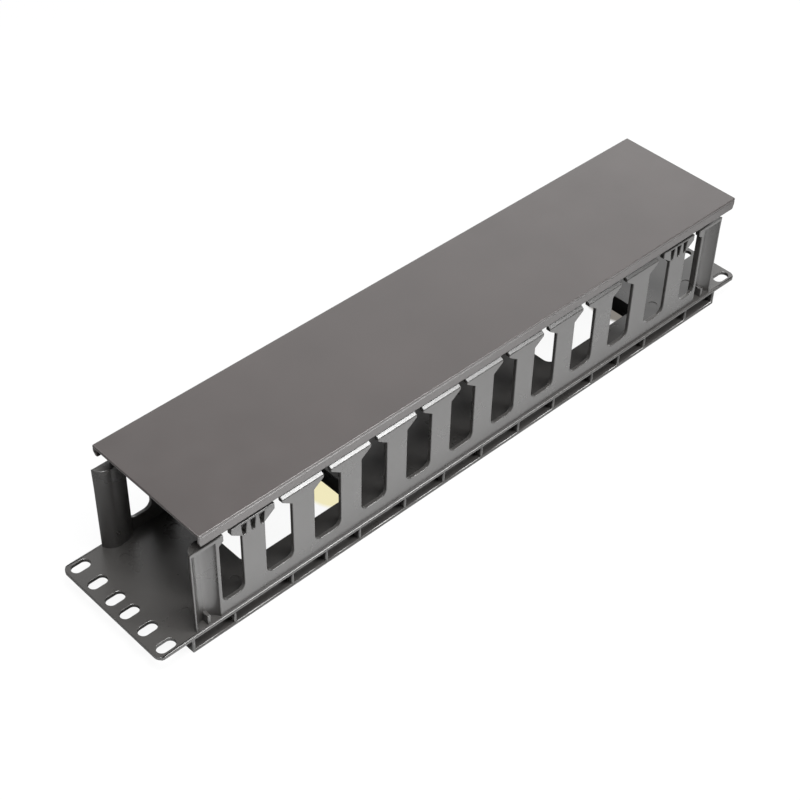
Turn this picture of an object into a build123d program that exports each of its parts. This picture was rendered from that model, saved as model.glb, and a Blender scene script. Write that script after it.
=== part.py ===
"""Horizontal cable manager, two rack units: a moulded duct body and its clip-on cover.

The part lies on its back, cover up. X runs along the rack width, Y along the rack height and
Z away from the rack. The underside of the body is at z = 0. Sizes are in millimetres. Heights
of the walls, posts and cover are named from the floor of the duct, which is the panel's top.
"""

import os
from math import sqrt

from build123d import *

SIN_45 = sqrt(0.5)

# Rack panel, two units high, with slotted ears
panel_length = 482.6
unit_pitch = 44.45
height_play = 0.8
panel_t = 2.4
ear_length = 21.8
ear_corner_r = 5.0
slot_edge_distance = 8.75
slot_length = 11.8
slot_width = 6.8

# Shallow frame under the panel, with a ribbed channel along each side
base_depth = 12.2
frame_wall_t = 2.0
flange_t = 2.0
channel_depth = 6.0
channel_rib_t = 1.6
channel_rib_spots = [0.0, 31.8, 63.2, 190.0]
port_rib_pitch = 25.2
cross_rib_t = 1.8
cross_rib_depth = 7.0
cross_rib_spots = [0.0, 63.2, 190.0]

# Pass-through ports in the floor
port_length = 81.0
port_width = 42.4
port_corner_r = 5.5
port_offset = 123.8
port_skirt_t = 2.0

# Ejector pin marks left in the floor by the mould
ejector_d = 6.0
ejector_depth = 0.3
ejector_y = 26.5
ejector_spots = [176.3, 210.5]

# Finger walls
wall_ledge = 1.75
wall_t = 2.4
window_count = 12
finger_width = 15.4
end_window_reach = 5.725
sill_height = 9.3
sill_corner_r = 4.8
jamb_height = 50.4
tip_height = 55.6
tip_gap = 5.2
tip_r = 0.9

# Finger heads with a sloping ledge, and the tongues that carry the cover
head_height = 58.0
head_t = 3.5
head_low_height = 52.0
ledge_rise = 0.8
tongue_t = 1.6
bead_drop = 3.6
bead_out = 1.2

# Tapered pockets in the outer face of the end fingers' heads
pocket_count = 3
pocket_pitch = 6.1
pocket_top_width = 4.0
pocket_low_width = 2.2
pocket_low_height = 50.4
pocket_height = 8.2
pocket_corner_r = 0.9
pocket_skin_t = 0.8

# Hollow corner posts, open on their outer face and capped, with a rib at the foot
post_setback = 4.3
post_width = 18.9
post_depth = 6.9
leg_depth = 4.2
post_wall_t = 2.0
post_rim_t = 1.1
post_jamb_r = 0.8
post_height = 60.0
post_cap_t = 2.0
post_tongue_length = 8.3
foot_rib_t = 2.0
foot_rib_height = 6.6

# Cover, which sits a little off centre along its length
cover_overhang = 1.0
cover_offset_x = 5.4
cover_side_reach = 1.25
cover_height = 73.6
cover_t = 1.8
lip_t = 1.8
lip_drop = 8.2
lip_cut_length = 1.0
lip_cut_height = 4.0
cover_edge_r = 0.7
groove_drop = 1.6
groove_size = 0.6
groove_depth = 0.3
hook_reach = 1.6
hook_height = 2.4

# Clearances between the cover and the body
seat_gap = 0.1
hook_clearance = 0.3

# Planes across the part
panel_height = 2 * unit_pitch - height_play
cover_width = panel_height + 2 * cover_side_reach
floor_z = base_depth
root_z = floor_z - panel_t / 2
web_y = panel_height / 2 - channel_depth
wall_y = panel_height / 2 - wall_ledge
wall_inner_y = wall_y - wall_t
tongue_inner_y = wall_y - head_t
tongue_y = tongue_inner_y + tongue_t
lip_inner_y = cover_width / 2 - lip_t
bead_y = min(tongue_y + bead_out, lip_inner_y - hook_reach - hook_clearance)
bead_reach = bead_y - tongue_y

# Places along the part
slot_x = panel_length / 2 - slot_edge_distance
frame_half_length = panel_length / 2 - ear_length
post_end_x = frame_half_length - post_setback
leg_x = post_end_x - post_width
post_x = post_end_x - post_width / 2
recess_width = post_width - post_wall_t - post_rim_t
recess_x = post_end_x - post_rim_t - recess_width / 2
window_pitch = 2 * (leg_x - end_window_reach) / (window_count - 1)
window_width = window_pitch - finger_width
end_finger_x = (window_count / 2 - 1) * window_pitch
end_tip_x = end_finger_x + window_pitch / 2 + tip_gap / 2
head_width = window_pitch - tip_gap
ends = (-1, 1)
corners = [(end, side) for end in ends for side in ends]

# Heights
tongue_top_z = floor_z + cover_height - cover_t - seat_gap
bead_z = tongue_top_z - bead_drop
chamfer_slope = (tip_height - jamb_height) / (window_width - tip_gap) * 2


def wall_section(side):
    """Section of one finger wall with its ledge, tongue and bead, across the part."""
    points = [
        (wall_inner_y, root_z),
        (wall_y, root_z),
        (wall_y, floor_z + head_height),
        (tongue_y, floor_z + head_height + ledge_rise),
        (tongue_y, bead_z - bead_reach),
        (bead_y, bead_z),
        (tongue_y, bead_z + bead_reach),
        (tongue_y, tongue_top_z),
        (tongue_inner_y, tongue_top_z),
        (tongue_inner_y, floor_z + head_low_height),
        (wall_inner_y, floor_z + head_low_height - head_t + wall_t),
    ]
    return [(side * y, z) for y, z in points]


def window_outline(x, reaches):
    """Outline of the window at x: two jambs, two chamfers and the gap between the heads."""
    outline = []
    for side, reach in zip(ends, reaches):
        jamb_top = jamb_height + (window_width / 2 - reach) * chamfer_slope
        half = [
            (x + side * reach, floor_z + sill_height),
            (x + side * reach, floor_z + jamb_top),
            (x + side * tip_gap / 2, floor_z + tip_height),
            (x + side * tip_gap / 2, tongue_top_z + panel_t),
        ]
        outline += half if side < 0 else half[::-1]
    return outline


def pocket_outline(x):
    """Outline of one tapered pocket."""
    low_z = floor_z + pocket_low_height
    return [
        (x - pocket_low_width / 2, low_z),
        (x + pocket_low_width / 2, low_z),
        (x + pocket_top_width / 2, low_z + pocket_height),
        (x - pocket_top_width / 2, low_z + pocket_height),
    ]


def quarter_oval(x, y, reach, depth):
    """Three points of an arc close to a quarter ellipse, from its deepest point to its end."""
    return (x, y + depth), (x + reach * SIN_45, y + depth * SIN_45), (x + reach, y)


def cover_section(side):
    """Half of the cover's section, from the middle of the plate to the hook on its lip."""
    outer_y = cover_width / 2
    top_z = floor_z + cover_height
    low_z = top_z - lip_drop
    groove_z = top_z - groove_drop
    points = [
        (0, top_z),
        (outer_y, top_z),
        (outer_y, groove_z),
        (outer_y - groove_depth, groove_z - groove_size / 2),
        (outer_y, groove_z - groove_size),
        (outer_y, low_z),
        (lip_inner_y, low_z),
        (lip_inner_y - hook_reach, low_z + hook_height / 2),
        (lip_inner_y, low_z + hook_height),
        (lip_inner_y, top_z - cover_t),
        (0, top_z - cover_t),
    ]
    return [(side * y, z) for y, z in points]


with BuildPart() as duct_body:
    # Panel, whose middle is the floor of the duct
    with BuildSketch(Plane.XY.offset(floor_z - panel_t)):
        RectangleRounded(panel_length, panel_height, ear_corner_r)
    extrude(amount=panel_t)

    # Bottom flange, and above it the web and end walls that carry the panel
    with BuildSketch(Plane.XY):
        Rectangle(2 * frame_half_length, panel_height)
    extrude(amount=flange_t)
    with BuildSketch(Plane.XY.offset(flange_t / 2)):
        Rectangle(2 * frame_half_length, 2 * web_y)
        for end in ends:
            with Locations((end * (frame_half_length - frame_wall_t / 2), 0)):
                Rectangle(frame_wall_t, panel_height)
    extrude(amount=root_z - flange_t / 2)
    with BuildSketch(Plane.XY):
        Rectangle(2 * (frame_half_length - frame_wall_t), 2 * (web_y - frame_wall_t))
    extrude(amount=floor_z - panel_t, mode=Mode.SUBTRACT)

    # Upright ribs in the side channels, flush with the panel's edge
    port_ribs = [port_offset + i * port_rib_pitch for i in (-1, 0, 1)]
    rib_spots = {end * x for x in channel_rib_spots + port_ribs for end in ends}
    rib_y = panel_height / 2 - channel_depth / 2
    with BuildSketch(Plane.XY):
        with Locations(*[(x, side * rib_y) for x in sorted(rib_spots) for side in ends]):
            Rectangle(channel_rib_t, channel_depth)
    extrude(amount=root_z)

    # Cross ribs under the floor, in line with ribs of the channels
    cross_spots = {end * x for x in cross_rib_spots for end in ends}
    with BuildSketch(Plane.XY.offset(floor_z - panel_t - cross_rib_depth)):
        with Locations(*[(x, 0) for x in sorted(cross_spots)]):
            Rectangle(cross_rib_t, 2 * web_y - frame_wall_t)
    extrude(amount=cross_rib_depth + panel_t / 2)

    # Pass-through ports with a skirt around each
    ports = [(end * port_offset, 0) for end in ends]
    with BuildSketch(Plane.XY):
        with Locations(*ports):
            RectangleRounded(
                port_length + 2 * port_skirt_t,
                port_width + 2 * port_skirt_t,
                port_corner_r + port_skirt_t,
            )
    extrude(amount=root_z)
    with BuildSketch(Plane.XY):
        with Locations(*ports):
            RectangleRounded(port_length, port_width, port_corner_r)
    extrude(amount=floor_z, mode=Mode.SUBTRACT)

    # Mounting slots in the ears, and ejector marks in the floor
    slot_rows = [unit_pitch / 7, unit_pitch / 2, unit_pitch * 6 / 7]
    slots = [(end * slot_x, side * y) for end, side in corners for y in slot_rows]
    with BuildSketch(Plane.XY.offset(floor_z)):
        with Locations(*slots):
            SlotOverall(slot_length, slot_width)
    extrude(amount=-panel_t, mode=Mode.SUBTRACT)
    marks = [(end * x, side * ejector_y) for end, side in corners for x in ejector_spots]
    with BuildSketch(Plane.XY.offset(floor_z)):
        with Locations(*marks):
            Circle(ejector_d / 2)
    extrude(amount=-ejector_depth, mode=Mode.SUBTRACT)

    # Two walls at full length, raised where the end fingers and the post tips stand taller
    with BuildSketch(Plane.YZ):
        for side in ends:
            with BuildLine():
                Polyline(*wall_section(side), close=True)
            make_face()
    extrude(amount=leg_x, both=True)
    raised_y = (wall_y + tongue_y) / 2
    with BuildSketch(Plane.XY.offset(floor_z + head_height - tongue_t)):
        with Locations(*[(end * end_finger_x, side * raised_y) for end, side in corners]):
            Rectangle(head_width, wall_y - tongue_y)
        tip_x = (end_tip_x + leg_x) / 2
        with Locations(*[(end * tip_x, side * raised_y) for end, side in corners]):
            Rectangle(leg_x - end_tip_x, wall_y - tongue_y)
    extrude(amount=post_height - head_height + tongue_t)

    # Windows that leave the fingers: round at the sill, closing to a narrow gap at the heads
    with BuildSketch(Plane.XZ) as windows:
        for i in range(window_count):
            window_x = (i - (window_count - 1) / 2) * window_pitch
            left = end_window_reach if i == 0 else window_width / 2
            right = end_window_reach if i == window_count - 1 else window_width / 2
            with BuildLine():
                Polyline(*window_outline(window_x, (left, right)), close=True)
            make_face()
        fillet(windows.vertices().group_by(Axis.Y)[0], sill_corner_r)
        tips = windows.vertices().filter_by(lambda v: abs(v.Y - floor_z - tip_height) < 0.01)
        fillet(tips, tip_r)
    extrude(amount=panel_height, both=True, mode=Mode.SUBTRACT)

    # The end fingers are as thick as their heads behind the pockets
    pad_y = (wall_inner_y + tongue_inner_y) / 2
    with BuildSketch(Plane.XY.offset(floor_z + pocket_low_height - 2 * pocket_skin_t)):
        with Locations(*[(end * end_finger_x, side * pad_y) for end, side in corners]):
            Rectangle(finger_width, wall_inner_y - tongue_inner_y)
    extrude(amount=head_low_height - pocket_low_height + 2 * pocket_skin_t)

    # Tapered pockets in the end fingers, sunk from the outer face
    pocket_depth = head_t - pocket_skin_t
    for side in ends:
        with BuildSketch(Plane.XZ.offset(-side * wall_y)) as pockets:
            for end in ends:
                for i in range(pocket_count):
                    pocket_x = end * end_finger_x + (i - (pocket_count - 1) / 2) * pocket_pitch
                    with BuildLine():
                        Polyline(*pocket_outline(pocket_x), close=True)
                    make_face()
            fillet(pockets.vertices().group_by(Axis.Y)[0], pocket_corner_r)
        extrude(amount=side * pocket_depth, mode=Mode.SUBTRACT)

    # Corner posts: rounded in plan, cut square at the leg and hollow up to the cap
    post_inner_y = wall_y - post_depth
    leg_inner_y = wall_y - leg_depth
    with BuildSketch(Plane.XY.offset(root_z)) as post_plan:
        for end, side in corners:
            reach, depth = end * post_width / 2, -side * post_depth
            with BuildLine():
                ThreePointArc(*quarter_oval(end * post_x, side * wall_y, reach, depth))
                Polyline(
                    (end * post_end_x, side * wall_y),
                    (end * leg_x, side * wall_y),
                    (end * leg_x, side * leg_inner_y),
                )
                middle = (end * post_x, side * post_inner_y)
                TangentArc(middle, (end * leg_x, side * leg_inner_y), tangent=(-end, 0))
            make_face()
        leg_corners = post_plan.vertices().filter_by(
            lambda v: abs(v.Y) < wall_y - leg_depth / 2 and abs(v.X) < post_x - post_width / 4
        )
        fillet(leg_corners, post_jamb_r)
    extrude(amount=floor_z + post_height - root_z)
    recess_depth = post_depth - post_wall_t
    with BuildSketch(Plane.XY.offset(floor_z)):
        for end, side in corners:
            with BuildLine():
                for half in ends:
                    reach, depth = half * recess_width / 2, -side * recess_depth
                    ThreePointArc(*quarter_oval(end * recess_x, side * wall_y, reach, depth))
                Line(
                    (end * recess_x - recess_width / 2, side * wall_y),
                    (end * recess_x + recess_width / 2, side * wall_y),
                )
            make_face()
    extrude(amount=post_height - post_cap_t, mode=Mode.SUBTRACT)

    # A short rib at the foot of each recess
    foot_rib_depth = post_depth - post_wall_t / 2
    foot_rib_y = wall_y - foot_rib_depth / 2
    with BuildSketch(Plane.XY.offset(root_z)):
        with Locations(*[(end * recess_x, side * foot_rib_y) for end, side in corners]):
            Rectangle(foot_rib_t, foot_rib_depth)
    extrude(amount=floor_z + foot_rib_height - root_z)

    # Tongues that rise from the post caps into the cover
    post_tongue_x = leg_x + post_tongue_length / 2
    post_tongue_y = tongue_y - tongue_t / 2
    with BuildSketch(Plane.XY.offset(floor_z + post_height - post_cap_t)):
        with Locations(*[(end * post_tongue_x, side * post_tongue_y) for end, side in corners]):
            Rectangle(post_tongue_length, tongue_t)
    extrude(amount=tongue_top_z - floor_z - post_height + post_cap_t)

with BuildPart() as cover:
    # Plate and lips, with a groove under the top edge and a hook inside each lip
    with BuildSketch(Plane.YZ.offset(cover_offset_x)):
        for side in ends:
            with BuildLine():
                Polyline(*cover_section(side), close=True)
            make_face()
    cover_half_length = post_end_x + cover_overhang
    extrude(amount=cover_half_length, both=True)

    # Lips cut back at their lower corners
    lip_low_z = floor_z + cover_height - lip_drop
    with BuildSketch(Plane.XZ):
        for end in ends:
            cover_end_x = cover_offset_x + end * cover_half_length
            with BuildLine():
                Polyline(
                    (cover_end_x, lip_low_z),
                    (cover_end_x - end * lip_cut_length, lip_low_z),
                    (cover_end_x, lip_low_z + lip_cut_height),
                    close=True,
                )
            make_face()
    extrude(amount=cover_width, both=True, mode=Mode.SUBTRACT)

    # Rounded top edge
    fillet(cover.faces().sort_by(Axis.Z)[-1].edges(), cover_edge_r)

duct_body.part.label = "duct_body"
cover.part.label = "cover"

os.makedirs("parts", exist_ok=True)
export_step(duct_body.part, "parts/duct_body.step")
export_step(cover.part, "parts/cover.step")
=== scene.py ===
"""Horizontal cable manager: dresses the duct body and its cover, and sets light and camera.

Both pieces keep the shapes of the solids. Each gets merged flat faces, softly rounded edges and
the finish of a moulded plastic. All lengths are in metres.
"""

import math

import bmesh
import bpy
from mathutils import Euler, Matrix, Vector
from mathutils.geometry import intersect_point_line


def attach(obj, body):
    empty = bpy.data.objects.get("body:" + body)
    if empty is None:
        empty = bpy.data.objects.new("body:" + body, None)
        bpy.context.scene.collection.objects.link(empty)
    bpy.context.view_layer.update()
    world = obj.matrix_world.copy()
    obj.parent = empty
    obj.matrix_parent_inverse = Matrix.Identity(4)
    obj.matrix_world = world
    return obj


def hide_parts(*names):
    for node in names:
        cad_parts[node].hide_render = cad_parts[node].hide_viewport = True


bl_info = {
    "name": "Horizontal Cable Manager",
    "version": (1, 0, 0),
    "blender": (4, 5, 0),
    "location": "3D View > Sidebar > Cable Manager",
    "description": "Dresses a two-unit rack cable duct and its cover for a studio picture",
    "category": "Object",
}

MM = 0.001

# Rows of slots across the panel, and the lines beside and through the end fingers' pockets
SLOT_ROWS = [row * MM for row in (-38.1, -22.2, -6.35, 6.35, 22.2, 38.1)]
POCKET_ROWS = [(end * 173.25 + step) * MM for end in (-1, 1) for step in (-6.1, 0, 6.1)]

# The panel's flat faces lie between these heights, and the finger walls' outer faces here
PANEL_LOW = 9 * MM
PANEL_HIGH = 13 * MM
WALL_Y = 42.3 * MM

# Height of the outer edge of the finger heads' ledges, and how far it is let down so that the
# ledges catch the light
LEDGE_Z = 70.2 * MM
LEDGE_FALL = 0.6 * MM

# A corner this near to a plane lies on it, and a face this straight to an axis is square to it
TOUCH = 0.01 * MM
SQUARE = 0.99

# An edge that turns further than this is sharp. Sharp edges beyond the rim line are the long
# rims of panel and cover, and every other one gets this share of a rim's radius.
SHARP_TURN = math.radians(38)
RIM_Y = 43.9 * MM
FINE_SHARE = 0.45

# Two sharp sides of one flat face crowd each other where they face each other, which the dot
# product of their inward ways tells, and where fewer than this many radii lie between them
FACING = -0.2
CROWDING = 2.2

# Nearly all the values of a noise pattern lie between these two
NOISE_SPAN = {"From Min": 0.3, "From Max": 0.7}
GLOSS_WANDER = 0.03

# Share of the paper's white that no shadow reaches
SHADELESS = 0.93

# Painted light and shade under the two floor openings: a cream spot of painted warm light in the
# duct's shade at the left, and a grey spot of painted shadow from the duct at the right. Each is
# given by its middle along the duct, its reach and its colour. The spots are longer across the duct
# than along it, and have a soft edge this wide.
PAINTED_FLOOR_SPOTS = ((-85 * MM, 11 * MM, "F0E8BE"), (173 * MM, 17 * MM, "86827C"))
PAINTED_SPOT_SHAPE = (1.0, 0.75, 0.0)
PAINTED_SPOT_EDGE = 3 * MM

# Painted light and shade on the paper, which only the object sees, given as shares of light that
# the paper gives back: axis, where each change starts and stops, the share before and after it, and
# how it runs. The paper is painted dark behind the near wall, brighter at the left than at the
# right, and dark again past the right end, where the paint stands for the duct's shadow.
PAINTED_PAPER_SHADE_STEPS = (
    ("Y", -70 * MM, -20 * MM, 1.0, 0.22, "SMOOTHSTEP"),
    ("X", -200 * MM, 230 * MM, 0.78, 0.46, "LINEAR"),
    ("X", 290 * MM, 360 * MM, 1.0, 0.3, "SMOOTHSTEP"),
)

# Way to the brighter part of the room, low behind the duct's right end
BRIGHT_WAY = (0.7, 0.55, -0.44)

# Softboxes: name, place, the point that each faces, side and power in watts
LAMPS = (
    ("Key softbox", (0.65, -1.02, 1.17), (-0.1, 0, 0.05), 0.52, 33),
    ("Top softbox", (-0.25, -0.4, 1.6), (-0.1, -0.1, 0), 0.8, 74),
)

# Camera fitted to the panel's known points in the photograph: place, turn in degrees and shift
CAMERA_PLACE = (-0.55218, -0.53478, 0.72343)
CAMERA_TURN = (47.45, -1.05, -43.44)
CAMERA_SHIFT = (0.0025, -0.0008)

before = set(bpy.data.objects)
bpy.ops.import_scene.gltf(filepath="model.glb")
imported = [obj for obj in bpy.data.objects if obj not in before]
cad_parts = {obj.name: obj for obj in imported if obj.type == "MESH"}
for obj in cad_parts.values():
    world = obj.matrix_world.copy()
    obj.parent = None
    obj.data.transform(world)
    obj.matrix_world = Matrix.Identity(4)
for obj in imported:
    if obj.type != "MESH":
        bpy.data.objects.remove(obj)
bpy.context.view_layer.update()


def srgb(hex_colour):
    """Linear RGBA of an sRGB colour written as six hex digits."""
    linear = []
    for i in (0, 2, 4):
        value = int(hex_colour[i:i + 2], 16) / 255
        linear.append(value / 12.92 if value <= 0.04045 else ((value + 0.055) / 1.055) ** 2.4)
    return (*linear, 1.0)


def add_node(tree, kind, inputs=None, **settings):
    """Adds one node, applies its settings, and sets or links each input it is given."""
    node = tree.nodes.new(kind)
    for name, value in settings.items():
        setattr(node, name, value)
    for name, value in (inputs or {}).items():
        if isinstance(value, bpy.types.NodeSocket):
            tree.links.new(value, node.inputs[name])
        else:
            node.inputs[name].default_value = value
    return node


class DuctBodySettings(bpy.types.PropertyGroup):
    """Finish of the duct body."""

    edge_radius: bpy.props.FloatProperty(
        name="Edge radius",
        description="Radius of the body's moulded edges; its long rims are rounded wider",
        default=0.35 * MM, min=0.0, unit="LENGTH", precision=5)
    colour: bpy.props.FloatVectorProperty(
        name="Colour",
        description="Colour of the body's plastic",
        default=srgb("2B2A29"), size=4, min=0.0, max=1.0, subtype="COLOR")
    grain: bpy.props.FloatProperty(
        name="Grain",
        description="Spacing of the fine texture on the surface",
        default=0.9 * MM, min=0.0001, unit="LENGTH", precision=5)


class CoverSettings(bpy.types.PropertyGroup):
    """Finish of the cover."""

    edge_radius: bpy.props.FloatProperty(
        name="Edge radius",
        description="Radius of the cover's edges; its long rims are rounded wider",
        default=0.3 * MM, min=0.0, unit="LENGTH", precision=5)
    colour: bpy.props.FloatVectorProperty(
        name="Colour",
        description="Colour of the cover's plastic",
        default=srgb("272322"), size=4, min=0.0, max=1.0, subtype="COLOR")
    grain: bpy.props.FloatProperty(
        name="Grain",
        description="Spacing of the fine texture on the surface",
        default=0.9 * MM, min=0.0001, unit="LENGTH", precision=5)


class StageSettings(bpy.types.PropertyGroup):
    """Floor and camera."""

    floor_size: bpy.props.FloatProperty(
        name="Floor size",
        description="Side of the square floor",
        default=8.0, min=1.0, unit="LENGTH")
    lens: bpy.props.FloatProperty(
        name="Lens",
        description="Focal length of the camera, in millimetres on a 36 mm sensor",
        default=77.38, min=10.0)


def crowded_edges(work, radius):
    """Sharp edges that lie too near another one across a flat face to be cut back for a radius."""
    # Sides of faces, gathered by the plane that the faces lie in
    planes = {}
    for face in work.faces:
        height = face.normal.dot(face.verts[0].co)
        sides = planes.setdefault((*(round(part, 2) for part in face.normal), round(height, 5)), [])
        for loop in face.loops:
            if not loop.edge.smooth:
                start, stop = loop.vert.co, loop.link_loop_next.vert.co
                inward = face.normal.cross(stop - start).normalized()
                sides.append((loop.edge, start, stop, inward))
    crowded = set()
    for sides in planes.values():
        for edge, start, stop, inward in sides:
            middle = (start + stop) / 2
            for other, low, high, facing in sides:
                if inward.dot(facing) < FACING:
                    point, part = intersect_point_line(middle, low, high)
                    nearest = low if part < 0 else high if part > 1 else point
                    if (middle - nearest).length < CROWDING * radius:
                        crowded.add(edge)
    return crowded


def lies_at(value, distance):
    """Whether a coordinate lies at this distance from the middle, on either side."""
    return abs(abs(value) - distance) < TOUCH


def on_panel(face):
    """Whether a face belongs to the panel's upper or lower side."""
    return abs(face.normal.z) > SQUARE and PANEL_LOW < face.verts[0].co.z < PANEL_HIGH


def on_finger_wall(face):
    """Whether a face belongs to the outer side of a finger wall."""
    return abs(face.normal.y) > SQUARE and lies_at(face.verts[0].co.y, WALL_Y)


def cut_flat_faces(work):
    """Cuts the panel along its slot rows and across its middle, and the finger walls across
    their pockets, so that no flat face is left with a hole in it."""
    cuts = [((0, row, 0), (0, 1, 0), on_panel) for row in SLOT_ROWS]
    cuts.append(((0, 0, 0), (1, 0, 0), on_panel))
    cuts += [((x, 0, 0), (1, 0, 0), on_finger_wall) for x in POCKET_ROWS]
    for point, way, chosen in cuts:
        flat = [face for face in work.faces if chosen(face)]
        sides = {edge for face in flat for edge in face.edges}
        corners = {corner for face in flat for corner in face.verts}
        cut = bmesh.ops.bisect_plane(
            work, geom=[*flat, *sides, *corners], dist=0.001 * MM,
            plane_co=point, plane_no=way)
        for item in cut["geom_cut"]:
            if isinstance(item, bmesh.types.BMEdge):
                item.seam = True


def moulding_mesh(node, name, radius):
    """Copy of a node's mesh with flat faces merged and its outward edges marked for rounding."""
    mesh = bpy.data.meshes.new(name)
    work = bmesh.new()
    work.from_mesh(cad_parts[node].data)
    bmesh.ops.remove_doubles(work, verts=work.verts, dist=0.002 * MM)
    cut_flat_faces(work)
    bmesh.ops.dissolve_limit(
        work, angle_limit=math.radians(0.1), verts=work.verts, edges=work.edges,
        delimit={"SEAM"})
    for corner in work.verts:
        if lies_at(corner.co.y, WALL_Y) and lies_at(corner.co.z, LEDGE_Z):
            corner.co.z -= LEDGE_FALL
    weight = work.edges.layers.float.new("bevel_weight_edge")
    for face in work.faces:
        face.smooth = True
    for edge in work.edges:
        edge.smooth = edge.calc_face_angle() < SHARP_TURN
    crowded = crowded_edges(work, radius)
    for edge in work.edges:
        if not edge.smooth and edge.is_convex and edge not in crowded:
            on_rim = all(abs(corner.co.y) > RIM_Y for corner in edge.verts)
            edge[weight] = 1.0 if on_rim else FINE_SHARE
    work.to_mesh(mesh)
    work.free()
    # The normals that the node's mesh was stored with don't fit the merged faces
    stored_normals = mesh.attributes.get("custom_normal")
    if stored_normals is not None:
        mesh.attributes.remove(stored_normals)
    return mesh


def round_edges(piece, radius):
    """Rounds the marked edges, and keeps flat faces flat to the light."""
    bevel = piece.modifiers.new("Mould edge radius", "BEVEL")
    bevel.width = radius / FINE_SHARE
    bevel.segments = 2
    bevel.limit_method = "WEIGHT"
    bevel.use_clamp_overlap = False
    bevel.loop_slide = False
    bevel.miter_outer = "MITER_ARC"
    shading = piece.modifiers.new("Flat faces stay flat", "WEIGHTED_NORMAL")
    shading.keep_sharp = True


def place_moulding(node, name, radius, body, material):
    """Puts a finished moulding in the place of a node."""
    piece = bpy.data.objects.new(name, moulding_mesh(node, name, radius))
    bpy.context.scene.collection.objects.link(piece)
    round_edges(piece, radius)
    piece.data.materials.append(material)
    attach(piece, body)
    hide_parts(node)


def moulded_abs(name, colour, grain, roughness, cloud_size, cloud_depth):
    """Satin ABS from a spark-eroded mould: soft broad gloss, fine grain, faint flow clouds."""
    material = bpy.data.materials.new(name)
    material.use_nodes = True
    tree = material.node_tree
    tree.nodes.clear()
    place = add_node(tree, "ShaderNodeTexCoord").outputs["Object"]
    # Faint lighter and darker clouds, left where the melt flowed and cooled
    clouds = add_node(
        tree, "ShaderNodeTexNoise",
        {"Vector": place, "Scale": 1 / cloud_size, "Detail": 4.0, "Roughness": 0.55})
    shade = add_node(
        tree, "ShaderNodeMapRange",
        {"Value": clouds.outputs["Fac"], **NOISE_SPAN,
         "To Min": 1 - cloud_depth, "To Max": 1 + cloud_depth})
    tint = add_node(
        tree, "ShaderNodeVectorMath",
        {0: colour[:3], "Scale": shade.outputs["Result"]}, operation="SCALE")
    # Gloss that wanders a little, as it does on handled plastic
    gloss_spots = add_node(
        tree, "ShaderNodeTexNoise",
        {"Vector": place, "Scale": 1 / (18 * MM), "Detail": 3.0, "Roughness": 0.6})
    gloss = add_node(
        tree, "ShaderNodeMapRange",
        {"Value": gloss_spots.outputs["Fac"], **NOISE_SPAN,
         "To Min": roughness - GLOSS_WANDER, "To Max": roughness + GLOSS_WANDER})
    # Spark-eroded grain, drawn several times coarser than the real 0.1 mm so that it shows
    pits = add_node(
        tree, "ShaderNodeTexNoise",
        {"Vector": place, "Scale": 1 / grain, "Detail": 2.0, "Roughness": 0.5})
    bump = add_node(
        tree, "ShaderNodeBump",
        {"Height": pits.outputs["Fac"], "Strength": 0.15, "Distance": 0.05 * MM})
    shader = add_node(
        tree, "ShaderNodeBsdfPrincipled",
        {"Base Color": tint.outputs["Vector"], "Roughness": gloss.outputs["Result"],
         "Normal": bump.outputs["Normal"], "IOR": 1.53})
    add_node(tree, "ShaderNodeOutputMaterial", {"Surface": shader.outputs["BSDF"]})
    return material


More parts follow.
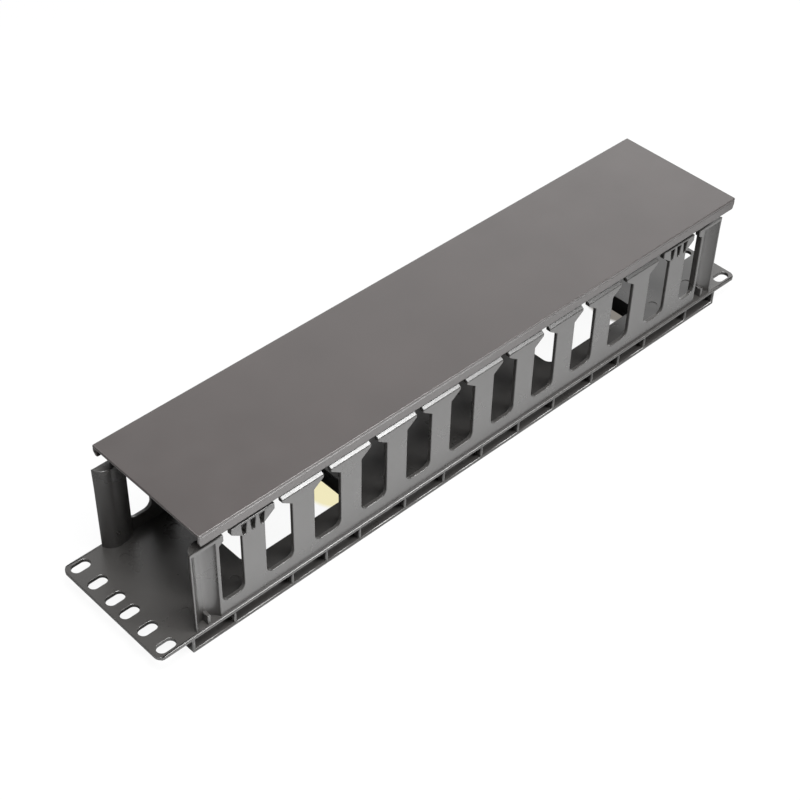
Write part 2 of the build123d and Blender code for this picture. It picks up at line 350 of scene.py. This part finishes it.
def studio_floor():
    """Matt white paper: white to the camera, with the object's shadow kept and glowing painted
    light and shade under each floor opening. Towards the object it has painted light and shade:
    bright in front of it, dark behind its near wall, brighter at its left than at its right, and
    dark past its right end."""
    material = bpy.data.materials.new("White paper, matt, with painted light and shade")
    material.use_nodes = True
    tree = material.node_tree
    tree.nodes.clear()
    place = add_node(tree, "ShaderNodeTexCoord").outputs["Object"]
    # Paper as the camera sees it: nearly all glow, and some grey that takes the soft shadow
    paper = add_node(tree, "ShaderNodeBsdfDiffuse", {"Color": srgb("A8A8A8")})
    glow = add_node(tree, "ShaderNodeEmission", {"Color": srgb("FFFFFF"), "Strength": 1.0})
    seen = add_node(
        tree, "ShaderNodeMixShader", {0: SHADELESS, 1: paper.outputs[0], 2: glow.outputs[0]})
    # Soft glowing cream and grey spots as they show through the floor openings: painted warm light
    # and painted shadow on the paper under the duct
    for middle, reach, colour in PAINTED_FLOOR_SPOTS:
        away = add_node(
            tree, "ShaderNodeVectorMath", {0: place, 1: (middle, 0.0, 0.0)}, operation="SUBTRACT")
        shape = add_node(
            tree, "ShaderNodeVectorMath",
            {0: away.outputs["Vector"], 1: PAINTED_SPOT_SHAPE}, operation="MULTIPLY")
        gap = add_node(
            tree, "ShaderNodeVectorMath", {0: shape.outputs["Vector"]}, operation="LENGTH")
        inside_painted_spot = add_node(
            tree, "ShaderNodeMapRange",
            {"Value": gap.outputs["Value"], "From Min": reach, "From Max": reach + PAINTED_SPOT_EDGE,
             "To Min": 1.0, "To Max": 0.0})
        painted_spot = add_node(tree, "ShaderNodeEmission", {"Color": srgb(colour), "Strength": 1.0})
        seen = add_node(
            tree, "ShaderNodeMixShader",
            {0: inside_painted_spot.outputs["Result"], 1: seen.outputs[0], 2: painted_spot.outputs[0]})
    # Paper as the object sees it, with painted light and shade: its share of light is the product
    # of the three steps
    sides = add_node(tree, "ShaderNodeSeparateXYZ", {0: place})
    share = 1.0
    for axis, start, stop, before, after, run in PAINTED_PAPER_SHADE_STEPS:
        step = add_node(
            tree, "ShaderNodeMapRange",
            {"Value": sides.outputs[axis], "From Min": start, "From Max": stop,
             "To Min": before, "To Max": after}, interpolation_type=run)
        share = add_node(
            tree, "ShaderNodeMath",
            {0: share, 1: step.outputs["Result"]}, operation="MULTIPLY").outputs["Value"]
    painted_shade_bounce = add_node(tree, "ShaderNodeBsdfDiffuse", {"Color": share})
    path = add_node(tree, "ShaderNodeLightPath")
    mix = add_node(
        tree, "ShaderNodeMixShader",
        {0: path.outputs["Is Camera Ray"], 1: painted_shade_bounce.outputs[0], 2: seen.outputs[0]})
    add_node(tree, "ShaderNodeOutputMaterial", {"Surface": mix.outputs[0]})
    return material


def white_room():
    """Plain room: white to the camera, dim to the object except towards the bright part."""
    world = bpy.data.worlds.new("White room")
    world.use_nodes = True
    tree = world.node_tree
    tree.nodes.clear()
    way = add_node(tree, "ShaderNodeTexCoord").outputs["Generated"]
    toward = add_node(
        tree, "ShaderNodeVectorMath", {0: way, 1: BRIGHT_WAY}, operation="DOT_PRODUCT")
    walls = add_node(
        tree, "ShaderNodeMapRange",
        {"Value": toward.outputs["Value"], "From Min": 0.2, "From Max": 0.5,
         "To Min": 0.4, "To Max": 2.6}, interpolation_type="SMOOTHSTEP")
    path = add_node(tree, "ShaderNodeLightPath")
    strength = add_node(
        tree, "ShaderNodeMix",
        {0: path.outputs["Is Camera Ray"], 2: walls.outputs["Result"], 3: 1.0})
    background = add_node(
        tree, "ShaderNodeBackground",
        {"Color": srgb("FFFFFF"), "Strength": strength.outputs[0]})
    add_node(tree, "ShaderNodeOutputWorld", {"Surface": background.outputs[0]})
    return world


def add_softbox(name, place, aim, side, power):
    """Square soft lamp at a place, turned to face a point."""
    light = bpy.data.lights.new(name, "AREA")
    light.shape = "SQUARE"
    light.size = side
    light.energy = power
    lamp = bpy.data.objects.new(name, light)
    lamp.location = place
    lamp.rotation_euler = (Vector(aim) - Vector(place)).to_track_quat("-Z", "Y").to_euler()
    bpy.context.scene.collection.objects.link(lamp)


class CABLEDUCT_OT_duct_body(bpy.types.Operator):
    """Make the duct body: panel, finger walls and corner posts in one moulding"""

    bl_idname = "cableduct.duct_body"
    bl_label = "Duct Body"

    def execute(self, context):
        settings = context.scene.duct_body_settings
        material = moulded_abs(
            "ABS, charcoal, satin moulded", settings.colour, settings.grain,
            roughness=0.29, cloud_size=35 * MM, cloud_depth=0.06)
        place_moulding(
            "duct_body", "finger_duct_body", settings.edge_radius, "duct", material)
        return {"FINISHED"}


class CABLEDUCT_OT_cover(bpy.types.Operator):
    """Make the cover: a flat plate with two turned-down lips"""

    bl_idname = "cableduct.cover"
    bl_label = "Cover"

    def execute(self, context):
        settings = context.scene.cover_settings
        material = moulded_abs(
            "ABS, charcoal, satin extruded", settings.colour, settings.grain,
            roughness=0.34, cloud_size=60 * MM, cloud_depth=0.1)
        place_moulding(
            "cover", "clip_on_cover", settings.edge_radius, "lid", material)
        return {"FINISHED"}


class CABLEDUCT_OT_stage(bpy.types.Operator):
    """Set the floor, the lamps, the world and the camera"""

    bl_idname = "cableduct.stage"
    bl_label = "Stage"

    def execute(self, context):
        settings = context.scene.stage_settings
        scene = context.scene
        half = settings.floor_size / 2
        mesh = bpy.data.meshes.new("floor")
        mesh.from_pydata(
            [(-half, -half, 0), (half, -half, 0), (half, half, 0), (-half, half, 0)],
            [], [(0, 1, 2, 3)])
        mesh.materials.append(studio_floor())
        floor = bpy.data.objects.new("floor", mesh)
        scene.collection.objects.link(floor)

        for lamp in LAMPS:
            add_softbox(*lamp)
        scene.world = white_room()
        scene.view_settings.view_transform = "Standard"

        data = bpy.data.cameras.new("Photograph view")
        data.lens = settings.lens
        data.sensor_width = 36.0
        data.shift_x, data.shift_y = CAMERA_SHIFT
        data.clip_start = 0.01
        data.clip_end = 20.0
        camera = bpy.data.objects.new("Photograph view", data)
        camera.location = CAMERA_PLACE
        camera.rotation_euler = Euler([math.radians(turn) for turn in CAMERA_TURN], "XYZ")
        scene.collection.objects.link(camera)
        scene.camera = camera
        return {"FINISHED"}


class CABLEDUCT_PT_sidebar(bpy.types.Panel):
    """Lists the pieces of the cable manager and their settings"""

    bl_idname = "CABLEDUCT_PT_sidebar"
    bl_label = "Cable Manager"
    bl_space_type = "VIEW_3D"
    bl_region_type = "UI"
    bl_category = "Cable Manager"

    def draw(self, context):
        scene = context.scene
        for settings, operator in (
                (scene.duct_body_settings, CABLEDUCT_OT_duct_body),
                (scene.cover_settings, CABLEDUCT_OT_cover),
                (scene.stage_settings, CABLEDUCT_OT_stage)):
            box = self.layout.box()
            box.operator(operator.bl_idname)
            for name in settings.__annotations__:
                box.prop(settings, name)


CLASSES = (
    DuctBodySettings,
    CoverSettings,
    StageSettings,
    CABLEDUCT_OT_duct_body,
    CABLEDUCT_OT_cover,
    CABLEDUCT_OT_stage,
    CABLEDUCT_PT_sidebar,
)


def register():
    for item in CLASSES:
        bpy.utils.register_class(item)
    bpy.types.Scene.duct_body_settings = bpy.props.PointerProperty(type=DuctBodySettings)
    bpy.types.Scene.cover_settings = bpy.props.PointerProperty(type=CoverSettings)
    bpy.types.Scene.stage_settings = bpy.props.PointerProperty(type=StageSettings)


def unregister():
    del bpy.types.Scene.stage_settings
    del bpy.types.Scene.cover_settings
    del bpy.types.Scene.duct_body_settings
    for item in reversed(CLASSES):
        bpy.utils.unregister_class(item)


def main():
    """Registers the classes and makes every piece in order."""
    register()
    bpy.ops.cableduct.duct_body()
    bpy.ops.cableduct.cover()
    bpy.ops.cableduct.stage()


if __name__ == "__main__":
    main()
